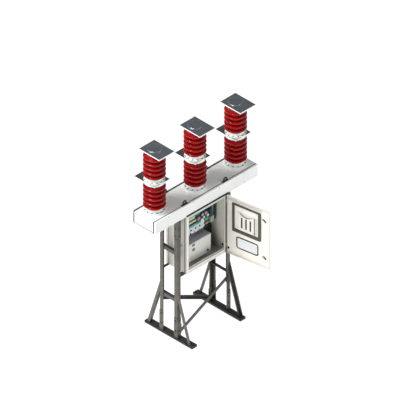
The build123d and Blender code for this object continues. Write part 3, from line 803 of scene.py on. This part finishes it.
# the black seal of painted shade between the cabinet and the beam
BEAM_SHADE_SEAL_INSETS = (2 * MM, 22 * MM)  # outer and inner edge, in from the cabinet's sides
TRIM_DEPTH = 3 * MM
TOP_TRIM = 12 * MM
RIGHT_TRIM = 22 * MM
BOTTOM_TRIM = (14 * MM, 46 * MM)  # its height, and its middle below the opening
BOTTOM_TRIM_SPREAD = 10 * MM  # how much wider it is than the opening
SILL = (36 * MM, 19 * MM)  # the same for the sill
SILL_DEPTH = 2 * MM
# brown strip of painted shade down the cabinet's front by the hinges
HINGE_SHADE_STRIP = (10 * MM, 4 * MM)  # width, depth
CATCH_PLACE = (-0.112, 1.434)  # y, z
CATCH_SIZE = (14 * MM, 26 * MM)
CATCH_DEPTH = 5 * MM


def cabinet_sides():
    """Raised mouldings on the cabinet's sides, with a darker grey strip of painted shade in the groove
    between them.
    """
    groove_edges = [y for pair in SIDE_CHANNELS for y in reversed(pair)]
    edges = [cabinet_high.y, *groove_edges, cabinet_front]
    mouldings = [(front, rear) for rear, front in zip(edges[::2], edges[1::2])]
    for side, x_side in X_SIDES:
        face = facing_x(face_of(cabinet_box, "x", x_side), x_side, z=cabinet_middle.z)
        for name, look, bands, depth, soft_edge in (
            ("cabinet_side", "cabinet_cream", mouldings, MOULDING_DEPTH, BROAD),
            ("cabinet_groove_shade", "groove_shade_grey", SIDE_CHANNELS, CHANNEL_DEPTH, 0),
        ):
            made = Piece(f"{name}_{side}", look, "cabinet_paint")
            for front, rear in bands:
                made.block((x_side * between(front, rear), 0), (rear - front, cabinet_size.z), depth, face)
            made.done(soft_edge)


def cabinet_beam_shade_seal():
    """A black seal between the cabinet's top and the beam, painted shade for the dark gap there."""
    centre = (cabinet_middle.x, between(cabinet_front, cabinet_high.y))
    outer, inner = (
        (cabinet_size.x - 2 * inset, cabinet_high.y - cabinet_front - 2 * inset) for inset in BEAM_SHADE_SEAL_INSETS
    )
    Piece("cabinet_beam_shade_seal", "seal_black", "gasket_rubber").frame(
        centre, outer, inner, beam_low.z - cabinet_high.z, level(cabinet_high.z)).done()


def opening_surround():
    """The white trim round the cabinet's opening, lighter than the cabinet as a painted highlight, and the
    grey sill below it.
    """
    left, right, bottom, top = OPENING
    width, middle_x = right - left, between(left, right)
    (bottom_height, bottom_drop), (sill_height, sill_drop) = BOTTOM_TRIM, SILL
    trim = Piece("opening_trim", "white_trim_and_highlight", "cabinet_paint")
    for centre, size in (
        ((between(cabinet_low.x, left), cabinet_middle.z), (left - cabinet_low.x, cabinet_size.z)),
        ((middle_x, top + TOP_TRIM / 2), (width, TOP_TRIM)),
        ((middle_x, bottom - bottom_drop), (width + BOTTOM_TRIM_SPREAD, bottom_height)),
        ((right + RIGHT_TRIM / 2, between(bottom, top)), (RIGHT_TRIM, top - bottom + 2 * TOP_TRIM)),
    ):
        trim.block(centre, size, TRIM_DEPTH, front_face)
    trim.done(BROAD)
    Piece("opening_sill", "sill_grey", "cabinet_paint").block(
        (middle_x, bottom - sill_drop), (width, sill_height), SILL_DEPTH, front_face).done()


def catch_and_hinge_shade():
    """A small catch on the cabinet's left side, and a brown strip of painted shade down its front by the
    hinges.
    """
    y, z = CATCH_PLACE
    Piece("cabinet_side_catch", "dark_trim", "hinge_steel").block(
        (-y, z), CATCH_SIZE, CATCH_DEPTH, facing_x(cabinet_low.x, -1)).done()
    width, depth = HINGE_SHADE_STRIP
    Piece("cabinet_hinge_shade_strip", "hinge_shade_brown", "gasket_rubber").block(
        (cabinet_high.x - width / 2, cabinet_middle.z), (width, cabinet_size.z), depth, front_face).done()


cabinet_sides()
cabinet_beam_shade_seal()
opening_surround()
catch_and_hinge_shade()

# --- Devices on the panel ---
panel_face = facing_y(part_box("component_panel")[0].y)

# All sizes on the panel are in millimetres. Blocks: shade, x and height of both corners, depth.
DEVICE_BLOCKS = (
    ("dark", (-340, 1596), (60, 1612), 24),  # duct over the terminal strip
    ("dark", (-340, 1734), (250, 1752), 26),  # duct over the middle row
    ("green", (-120, 1738), (120, 1750), 30),
    ("sage", (-170, 1690), (-58, 1730), 26),
    ("olive", (-180, 1661), (-38, 1688), 24),
    ("cream", (-160, 1636), (-36, 1659), 27),
    ("cyan", (-330, 1622), (-156, 1650), 22),
    ("cyan", (-330, 1690), (-190, 1730), 24),
    ("teal", (-330, 1568), (20, 1594), 20),
    ("green", (0, 1572), (48, 1602), 24),
    ("dark", (-28, 1612), (56, 1678), 16),
    ("dark", (62, 1606), (196, 1706), 16),
    ("white", (56, 1556), (100, 1612), 30),
    ("white", (102, 1612), (124, 1636), 30),
    ("white", (168, 1610), (196, 1640), 30),
    ("green", (128, 1552), (184, 1598), 25),
    ("dark", (200, 1590), (232, 1634), 22),
    ("pine", (236, 1580), (292, 1730), 20),
    ("teal", (272, 1630), (280, 1726), 24),
    ("dark", (298, 1500), (330, 1752), 26),
    ("grey", (232, 1478), (292, 1568), 30),
    ("green", (182, 1500), (212, 1560), 22),
    ("rose", (132, 1494), (180, 1522), 30),
    ("dark", (-340, 1444), (196, 1462), 24),  # black bar of painted shadow under the terminal strip
)
# Round devices: shade, x and height of the centre, radius, depth.
DEVICE_ROUNDS = (
    ("plum", (14, 1645), 36, 28), ("rose", (8, 1652), 20, 33),
    ("lilac", (86, 1674), 20, 28), ("lilac", (152, 1672), 22, 28), ("plum", (150, 1640), 20, 26),
    ("dark", (218, 1688), 27, 32), ("dark", (118, 1527), 13, 34), ("red", (118, 1527), 7, 37),
    ("dark", (197, 1533), 11, 30),
)
# Terminal strip.
STRIP = ((-340, 1462), (124, 1566))  # its low and high corner
STRIP_DEPTH = 12
TERMINAL_PITCH = 17
TERMINAL_DEPTHS = (27, 25)  # of the lower and the upper half
TERMINAL_GAPS = (3, 1)
TERMINAL_SPLIT = 52  # height of the lower half
LOWER_ENDS = (0, 8, 20, 32)  # how much shorter the lower half may be
STRIP_BUTTONS = ((-312, -221, -130, -44, 30), 1528)  # x of each, and their height
STRIP_BUTTON = (12.5, 31)  # radius, depth
# Upper row: a rail, and breakers with levers, whose corners are given for a breaker that starts at 0.
RAIL = ((-330, 1788), (330, 1822), 7)
BREAKER = ((0, 1766), (33, 1844), 30)
LEVER = ((9, 1794), (24, 1818), 38)
BREAKERS, BREAKER_START, BREAKER_PITCH = 17, -306, 36
CREAM_EVERY = 6  # every sixth breaker is cream

device_pieces = {}


def devices_of(shade):
    """The piece for devices of one shade: a look's name, or what follows device_ in it."""
    if shade not in device_pieces:
        look = shade if shade in looks else "device_" + shade
        device_pieces[shade] = Piece(f"row_{look}", look, "device_plastic")
    return device_pieces[shade]


def square_device(shade, low, high, depth, start=0):
    """Add a device with square corners, moved along by the start."""
    (x0, z0), (x1, z1) = low, high
    centre = ((start + between(x0, x1)) * MM, between(z0, z1) * MM)
    devices_of(shade).block(centre, ((x1 - x0) * MM, (z1 - z0) * MM), depth * MM, panel_face)


def round_device(shade, centre, radius, depth, sides=32):
    """Add a round device."""
    x, z = centre
    devices_of(shade).disc((x * MM, z * MM), (radius * MM, depth * MM), panel_face, sides=sides)


def terminal_strip():
    """A row of terminals with uneven lower ends, and round buttons."""
    (left, bottom), (right, top) = STRIP
    lower_depth, upper_depth = TERMINAL_DEPTHS
    lower_gap, upper_gap = TERMINAL_GAPS
    draw = random.Random(7)
    square_device("dark", *STRIP, STRIP_DEPTH)
    for x in range(left, right - TERMINAL_PITCH + 1, TERMINAL_PITCH):
        after, halfway = x + TERMINAL_PITCH, bottom + TERMINAL_SPLIT
        lower_end = bottom + draw.choice(LOWER_ENDS)
        square_device("white", (x, lower_end), (after - lower_gap, halfway), lower_depth)
        square_device("cyan", (x, halfway), (after - upper_gap, top), upper_depth)
    buttons_x, button_z = STRIP_BUTTONS
    for x in buttons_x:
        round_device("dark", (x, button_z), *STRIP_BUTTON, sides=24)


def upper_row():
    """Breakers on a rail, out of the photograph's sight."""
    square_device("bolt_zinc", *RAIL)
    for step in range(BREAKERS):
        start = BREAKER_START + step * BREAKER_PITCH
        square_device("white" if (step + 1) % CREAM_EVERY else "cream", *BREAKER, start)
        square_device("dark", *LEVER, start)


for block in DEVICE_BLOCKS:
    square_device(*block)
for disc in DEVICE_ROUNDS:
    round_device(*disc)
terminal_strip()
upper_row()
dressed_rows = [piece.done(SOFT) for piece in device_pieces.values()]
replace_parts(dressed_rows[0], "device_rows")

# --- Relay box, gland plate, earth stud ---
LID_GAPS = (3 * MM, 4 * MM)  # in from the box's sides, and from its front and back
LID_THICKNESS = 1.5 * MM
BORDER_INSETS = (4 * MM, 13 * MM)  # outer and inner edge, in from the box's edges
BORDER_DEPTH = 2 * MM
LAMPS_X, LAMPS_Z = -0.137, (1.328, 1.254)
LAMP_SIZE, LAMP_DEPTH = (40 * MM, 32 * MM), 3 * MM
LAMP_FRAME, LAMP_FRAME_DEPTH = (48 * MM, 40 * MM), 2 * MM
LAMP_PINS = (-10 * MM, 10 * MM)
PIN = (5 * MM, 5 * MM)
BOX_SCREWS = ((-0.029, 1.315), (-0.045, 1.298), (0.035, 1.300))
BOX_SCREW = (3.5 * MM, 3 * MM)
KNOB_PLACE = (0.122, 1.122)
KNOB_FOOT = (16 * MM, 5 * MM)
KNOB = (13 * MM, 10 * MM, 11 * MM)
CABINET_WALL = 4 * MM
GLAND_PLATE = ((0, -0.096), (0.69, 0.21), 3 * MM)  # centre, size, thickness
GLANDS = 7
GLAND_START, GLAND_PITCH, GLAND_Y = -0.27, 0.09, -0.15
GLAND_NUT = (17 * MM, 8 * MM)
GLAND_NECK = (14 * MM, 18 * MM, 11 * MM)
STUD_SIZE = 22 * MM
CABINET_STUD = (-0.160, 1.122)  # y, z


def relay_box():
    """The relay box's lid, darker than the box as painted shade, front border, indicator windows, screws and
    knob.
    """
    low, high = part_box("relay_box")
    face = facing_y(low.y)
    middle, size = (low + high) / 2, high - low

    lid_size = (size.x - 2 * LID_GAPS[0], size.y - 2 * LID_GAPS[1])
    Piece("relay_box_lid_painted_shade", "box_lid_painted_shade", "relay_grey").block(
        (middle.x, middle.y), lid_size, LID_THICKNESS, level(high.z)).done()
    outer, inner = ((size.x - 2 * inset, size.z - 2 * inset) for inset in BORDER_INSETS)
    Piece("relay_box_border", "box_light", "relay_grey").frame(
        (middle.x, middle.z), outer, inner, BORDER_DEPTH, face).done()

    lamps = Piece("relay_box_windows", "lens_olive", "dark_trim")
    fittings = Piece("relay_box_fittings", "dark_trim", "dark_trim")
    for z in LAMPS_Z:
        lamps.block((LAMPS_X, z), LAMP_SIZE, LAMP_DEPTH, face)
        fittings.frame((LAMPS_X, z), LAMP_FRAME, LAMP_SIZE, LAMP_FRAME_DEPTH, face)
        for offset in LAMP_PINS:
            fittings.disc((LAMPS_X + offset, z), PIN, face)
    lamps.done()
    for place in BOX_SCREWS:
        fittings.disc(place, BOX_SCREW, face, sides=16)
    fittings.done()

    knob = Piece("relay_box_knob", "latch_dark", "dark_trim").disc(KNOB_PLACE, KNOB_FOOT, face)
    knob.disc(KNOB_PLACE, KNOB, face, low=KNOB_FOOT[1]).done()


def gland_plate():
    """A plate with a row of cable glands on the cabinet's floor."""
    floor = level(cabinet_low.z + CABINET_WALL)
    thickness = GLAND_PLATE[2]
    plate = Piece("gland_plate", "gland_grey", "zinc_plate")
    plate.block(*GLAND_PLATE, floor)
    for index in range(GLANDS):
        centre = (GLAND_START + index * GLAND_PITCH, GLAND_Y)
        plate.disc(centre, GLAND_NUT, floor, low=thickness, sides=6)
        plate.disc(centre, GLAND_NECK, floor, low=thickness + GLAND_NUT[1])
    plate.done()


def cabinet_stud():
    """The earth stud on the cabinet's right inner wall."""
    y, z = CABINET_STUD
    Piece("earth_stud_cabinet", "seal_black", "hinge_steel").bolt(
        (-y, z), STUD_SIZE, facing_x(cabinet_high.x - CABINET_WALL, -1)).done()


relay_box()
gland_plate()
cabinet_stud()

# --- Cabinet door ---
# Places on the door are from its hinge edge and foot, and depths from its skin's inner face.
SKIN_INSIDE = -23 * MM  # that face, from the hinge axis
DOOR_HEIGHT = 0.911
DOOR_DEPTH = 30 * MM
DOOR_STUD = (19 * MM, 71 * MM)
SHADE_STRIP_SHORTENED = 10 * MM
# The brown strip's two parts, painted shade on the door's hinge-side rim: x of the middle, width, where it
# starts from the rim's free edge, depth.
SHADE_STRIP_PARTS = ((9 * MM, 2 * MM, -10.5 * MM, 12 * MM), (8 * MM, 4 * MM, 0, 1.5 * MM))
RIM_SHADOW_STRIP = ((0.289, 0.861), (0.550, 0.046), 2 * MM)  # centre, size, depth of a grey strip of painted shadow under the door's top rim
# The frame's bars, from low to high corner in millimetres, wider at the foot and at the free side.
FRAME_BARS = (
    ((90, 384), (116, 824)), ((508, 384), (540, 824)), ((116, 384), (508, 421)), ((116, 806), (508, 824)),
)
FRAME_DEPTH = 22 * MM
POCKET_MIDDLE = 0.314
POCKET_FRONT = 20 * MM
# black lining: painted shade inside the pocket
SHADE_LINING = ((POCKET_MIDDLE, 0.5635), (0.182, 0.175), 1 * MM)
SHADE_LINING_SET_BACK = 3.6 * MM  # of its back, from the pocket's front
NOTCH_CENTRE = 0.8005
NOTCH_RADIUS = 0.1305
NOTCH_HALF_ANGLE = math.radians(43)
# a dark strip of painted shadow along the pocket's notch
NOTCH_SHADOW_STEPS = 24
NOTCH_SHADOW_WIDTHS = (9 * MM, 5 * MM)  # at its left and right end
NOTCH_SHADOW_DEPTH, NOTCH_SHADOW_SINK = 1 * MM, 0.4 * MM
# The pocket's edges, grey strips of painted shade: x, start and depth of each; then the height of their
# middle and their size.
POCKET_EDGES = ((0.4405, 1 * MM, 18 * MM), (0.4655, 0, 3.5 * MM))
POCKET_EDGE_Y, POCKET_EDGE_SIZE = 0.572, (2.5 * MM, 0.262)
POCKET_SCREWS_X, POCKET_SCREWS_Y = (-0.138, 0.138), (0.465, 0.680)  # x from the pocket's middle
POCKET_SCREW = (5 * MM, 2.5 * MM, 3.5 * MM)
POCKET_FLANGE = 2 * MM
LATCH_PLACES = ((0.601, 0.736), (0.601, 0.145))
LATCH_HEAD, LATCH_HEAD_START = (16 * MM, 6 * MM), -8 * MM
LATCH_SHAFT, LATCH_SHAFT_START = (8 * MM, 10 * MM), -2 * MM
CAM_HALF = Vector((25.5 * MM, -16.5 * MM))  # from the cam's middle to one end
CAM_HALF_WIDTH = 7.5 * MM
CAM_POINT = 1.15  # how far its tips reach, as a share of the half
CAM_LEVELS = (8 * MM, 14 * MM)

hinge = frame["joints"][0]
open_angle = -math.radians(hinge["range_deg"][0])
hinge_foot = (*hinge["pos_m"][:2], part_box("cabinet_door")[0].z)
to_latches = (-math.cos(open_angle), -math.sin(open_angle), 0)
door_face = axes(hinge_foot, to_latches, (0, 0, 1)) @ Matrix.Translation((0, 0, SKIN_INSIDE))


def door_edge():
    """The door's earth stud, a brown strip of painted shade by its hinges, and a grey strip of painted shadow
    under its top rim.
    """
    Piece("earth_stud_door", "seal_black", "hinge_steel", "door").bolt(DOOR_STUD, STUD_SIZE, door_face).done()
    # brown strip: painted shade on the rim's inner face by the hinges
    seal = Piece("door_hinge_shade_strip", "hinge_shade_brown", "gasket_rubber", "door")
    for x, width, start, depth in SHADE_STRIP_PARTS:
        seal.block((x, DOOR_HEIGHT / 2), (width, DOOR_HEIGHT - SHADE_STRIP_SHORTENED), depth, door_face,
                   low=DOOR_DEPTH + start)
    seal.done(SLIM)
    # grey strip: painted shadow of the top rim on the skin
    Piece("door_rim_shadow", "rim_shadow_grey", "cabinet_paint", "door").block(*RIM_SHADOW_STRIP, door_face).done()


def door_frame():
    """The frame on the door's inner face."""
    bars = Piece("door_frame_bars", "dark_trim", "dark_trim", "door")
    for (x0, y0), (x1, y1) in FRAME_BARS:
        centre = (between(x0, x1) * MM, between(y0, y1) * MM)
        bars.block(centre, ((x1 - x0) * MM, (y1 - y0) * MM), FRAME_DEPTH, door_face)
    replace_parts(bars.done(BROAD), "door_frame")


def document_pocket():
    """The pocket's black lining of painted shade behind its slots, a dark strip of painted shadow along its
    notch, grey strips of painted shade at its side, and screws.
    """
    Piece("pocket_shade_lining", "seal_black", "dark_trim", "door").block(
        *SHADE_LINING, door_face, low=POCKET_FRONT - SHADE_LINING_SET_BACK).done(0)

    inner, outer = [], []
    for step in range(NOTCH_SHADOW_STEPS + 1):
        share = step / NOTCH_SHADOW_STEPS
        turn = -math.pi / 2 + NOTCH_HALF_ANGLE * (2 * share - 1)
        width = NOTCH_SHADOW_WIDTHS[0] + (NOTCH_SHADOW_WIDTHS[1] - NOTCH_SHADOW_WIDTHS[0]) * share
        for line, radius in ((inner, NOTCH_RADIUS), (outer, NOTCH_RADIUS + width)):
            line.append((POCKET_MIDDLE + radius * math.cos(turn), NOTCH_CENTRE + radius * math.sin(turn)))
    # painted shadow along the notch
    Piece("pocket_notch_shadow", "latch_dark", "dark_trim", "door").strip(
        inner, outer, NOTCH_SHADOW_DEPTH, door_face, low=POCKET_FRONT - NOTCH_SHADOW_SINK).done(0)

    edges = Piece("pocket_edge_shades", "pocket_edge_shade", "cabinet_paint", "door")
    for x, start, depth in POCKET_EDGES:
        edges.block((x, POCKET_EDGE_Y), POCKET_EDGE_SIZE, depth, door_face, low=start)
    edges.done(0)

    screws = Piece("pocket_screws", "bolt_zinc", "hinge_steel", "door")
    for x in POCKET_SCREWS_X:
        for y in POCKET_SCREWS_Y:
            screws.disc((POCKET_MIDDLE + x, y), POCKET_SCREW, door_face, low=POCKET_FLANGE)
    screws.done(FINE)


def door_latches():
    """Latches: heads outside, shafts through the skin, slanting cams inside."""
    across = Vector((-CAM_HALF.y, CAM_HALF.x)).normalized() * CAM_HALF_WIDTH
    tip = CAM_HALF * CAM_POINT
    cam = (-tip, -CAM_HALF - across, CAM_HALF - across, tip, CAM_HALF + across, -CAM_HALF + across)
    latches = Piece("door_latch_cams", "latch_dark", "hinge_steel", "door")
    for place in LATCH_PLACES:
        latches.disc(place, LATCH_HEAD, door_face, low=LATCH_HEAD_START, sides=32)
        latches.disc(place, LATCH_SHAFT, door_face, low=LATCH_SHAFT_START)
        latches.prism([tuple(Vector(place) + corner) for corner in cam], *CAM_LEVELS, door_face)
    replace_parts(latches.done(), "door_latches")


door_edge()
door_frame()
document_pocket()
door_latches()

# --- Stage ---
FLOOR_HALF = 60
FLOOR_GLOW = 0.92
SKY_LOW = (0.355, 0.355, 0.355, 1)
SKY_HIGH = (0.22, 0.225, 0.23, 1)
SKY_FADE = (0.1, 0.8)  # from the low to the high colour, as heights on the unit sphere
SOFT_BOXES = ((148, 172, 7.5), (-176, -156, 7.0), (-95, 10, 1.8))  # from and to in degrees, brightness
SOFT_BOX_HEIGHTS = (0.2, 0.33)
SOFT_BOX_BLUR = (0.1, 0.05)  # at their sides, in radians, and above and below
LAMP_TARGET = Vector((0, 0, 1.5))
LAMP_DISTANCE = 9
VIEW_DIRECTION = Vector((-1, -1, 1)).normalized()  # from the breaker to the camera
VIEW_CENTRE = Vector((0.6875, 0.5951, 1.2826))
VIEW_WIDTH = 5.2256
VIEW_DISTANCE = 12


def add_object(name, data):
    """Link a new object with the given data to the scene."""
    made = bpy.data.objects.new(name, data)
    bpy.context.scene.collection.objects.link(made)
    return made


def stage_floor():
    """A pale floor far wider than the view."""
    mesh = bmesh.new()
    bmesh.ops.create_grid(mesh, x_segments=1, y_segments=1, size=FLOOR_HALF)
    data = bpy.data.meshes.new("floor")
    mesh.to_mesh(data)
    mesh.free()
    material = finish("floor_white", srgb(140, 140, 140), 0.8, mottle=0.003, mottle_size=2.0, grain=0.02,
                      gloss_level=0.0)
    data.materials.append(adjust(material, Emission_Color=(1, 1, 1, 1), Emission_Strength=FLOOR_GLOW))
    add_object("floor", data)


def window(tree, value, low, high, blur):
    """One inside a range of values and nothing outside it, with soft edges."""
    rise = remap(tree, value, (low - blur, low))
    fall = remap(tree, value, (high, high + blur), (1, 0))
    return compute(tree, "MULTIPLY", rise, fall)


def sky():
    """Even light near the horizon, dimmer overhead, and three long low soft boxes."""
    world = bpy.data.worlds.new("studio")
    bpy.context.scene.world = world
    world.use_nodes = True
    tree = world.node_tree
    way = node(tree, "SeparateXYZ", {"Vector": node(tree, "TexCoord")["Generated"]})
    colour = mix(tree, remap(tree, way["Z"], SKY_FADE), SKY_LOW, SKY_HIGH)
    side_blur, height_blur = SOFT_BOX_BLUR
    height = window(tree, way["Z"], *SOFT_BOX_HEIGHTS, height_blur)
    turn = compute(tree, "ARCTAN2", way["Y"], way["X"])
    for low, high, brightness in SOFT_BOXES:
        span = window(tree, turn, math.radians(low), math.radians(high), side_blur)
        share = compute(tree, "MULTIPLY", span, height)
        colour = mix(tree, share, colour, (brightness, brightness, brightness, 1))
    feed(tree, tree.nodes["Background"], {"Color": colour})


def lamp(name, azimuth, elevation, side, power):
    """A square soft light aimed at the middle of the breaker, from a direction in degrees."""
    light = bpy.data.lights.new(name, "AREA")
    light.shape = "SQUARE"
    light.size = side
    light.energy = power
    turn, rise = math.radians(azimuth), math.radians(elevation)
    towards = Vector((math.cos(turn) * math.cos(rise), math.sin(turn) * math.cos(rise), math.sin(rise)))
    made = add_object(name, light)
    made.location = LAMP_TARGET + towards * LAMP_DISTANCE
    made.rotation_euler = (-towards).to_track_quat("-Z", "Y").to_euler()


def camera():
    """A true isometric view from the front left."""
    data = bpy.data.cameras.new("camera")
    data.type = "ORTHO"
    data.ortho_scale = VIEW_WIDTH
    data.clip_end = 200
    made = add_object("camera", data)
    made.location = VIEW_CENTRE + VIEW_DIRECTION * VIEW_DISTANCE
    made.rotation_euler = (-VIEW_DIRECTION).to_track_quat("-Z", "Y").to_euler()
    bpy.context.scene.camera = made


stage_floor()
sky()
lamp("key", azimuth=168, elevation=57, side=2.4, power=560)
lamp("fill", azimuth=300, elevation=40, side=1.6, power=90)
camera()
bpy.context.scene.view_settings.view_transform = "Standard"
